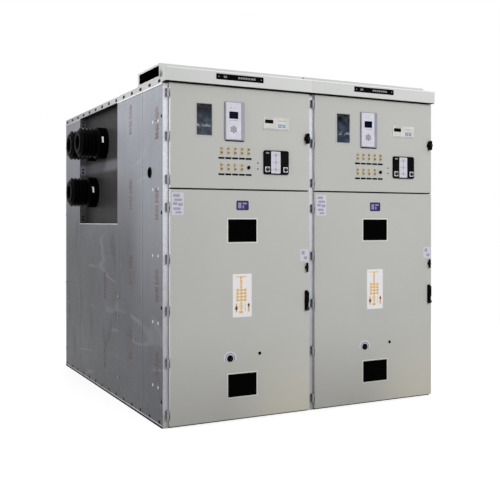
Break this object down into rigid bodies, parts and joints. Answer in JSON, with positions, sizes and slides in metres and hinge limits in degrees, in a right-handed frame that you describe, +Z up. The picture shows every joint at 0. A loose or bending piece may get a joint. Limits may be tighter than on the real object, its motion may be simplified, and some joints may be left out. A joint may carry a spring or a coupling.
{
  "type": "high voltage switchgear panel",
  "caption": "Metal-clad high voltage switchgear board of two bolted bays with hinged breaker doors, instrument panels, side busbar bushings and a roof wire duct.",
  "frame": {"origin": "on the floor under the base, at the seam between the two bays and at half depth", "axes": "+Z up, -Y out of the doors, +X to the right as seen from the front"},
  "size_m": [2.585, 2.842, 2.6],
  "materials": {
    "galvanised_frame": "galvanised",
    "galvanised_sheet": "galvanised sheet",
    "grey_paint": "light grey powder coat",
    "black_epoxy": "cast epoxy",
    "smoked_glass": "smoked",
    "relay_housing": "satin",
    "black_plastic": "satin",
    "lamp_plastic": "gloss",
    "zinc_hinge": "zinc plated"
  },
  "bodies": {
    "switchboard": {"base_side_members": "galvanised_frame", "base_cross_members": "galvanised_frame", "anchor_feet": "galvanised_frame", "front_posts": "galvanised_frame", "rear_posts": "galvanised_frame", "pocket_posts": "galvanised_frame", "top_side_rails": "galvanised_frame", "top_cross_rails": "galvanised_frame", "left_front_side_sheet": "galvanised_sheet", "left_middle_side_sheet": "galvanised_sheet", "left_lower_side_sheet": "galvanised_sheet", "left_rear_side_sheet": "galvanised_sheet", "bushing_plate": "galvanised_sheet", "upper_front_bushing": "black_epoxy", "upper_rear_bushing": "black_epoxy", "lower_bushing": "black_epoxy", "right_end_sheet": "galvanised_sheet", "seam_sheets": "galvanised_sheet", "roof_sheets": "galvanised_sheet", "relief_flaps": "galvanised_sheet", "rear_covers": "grey_paint", "breaker_back_sheets": "galvanised_sheet", "breaker_floors": "galvanised_sheet", "instrument_floors": "galvanised_sheet", "instrument_backs": "galvanised_sheet", "wire_ducts": "grey_paint", "left_fascia": "grey_paint", "right_fascia": "grey_paint", "left_upper_door": "grey_paint", "right_upper_door": "grey_paint", "upper_windows": "smoked_glass", "relays": "relay_housing", "humidity_controllers": "relay_housing", "status_units": "black_plastic", "indicator_lamps": "lamp_plastic", "upper_latches": "black_plastic", "left_hinge_leaves": "zinc_hinge", "right_hinge_leaves": "zinc_hinge"},
    "left_door": {"left_lower_door": "grey_paint", "left_inspection_windows": "smoked_glass", "left_door_furniture": "black_plastic"},
    "left_handle": {"left_handle": "black_plastic"},
    "right_door": {"right_lower_door": "grey_paint", "right_inspection_windows": "smoked_glass", "right_door_furniture": "black_plastic"},
    "right_handle": {"right_handle": "black_plastic"}
  },
  "joints": [
    {"name": "left_door_hinge", "type": "hinge", "parent": "switchboard", "child": "left_door", "pos_m": [-1.166, -1.392, 0.85], "axis": [0, 0, -1], "range_deg": [0, 105]},
    {"name": "right_door_hinge", "type": "hinge", "parent": "switchboard", "child": "right_door", "pos_m": [0.034, -1.392, 0.85], "axis": [0, 0, -1], "range_deg": [0, 105]},
    {"name": "left_handle_turn", "type": "hinge", "parent": "left_door", "child": "left_handle", "pos_m": [-0.032, -1.414, 0.796], "axis": [0, -1, 0], "range_deg": [0, 90]},
    {"name": "right_handle_turn", "type": "hinge", "parent": "right_door", "child": "right_handle", "pos_m": [1.168, -1.414, 0.796], "axis": [0, -1, 0], "range_deg": [0, 90]}
  ]
}
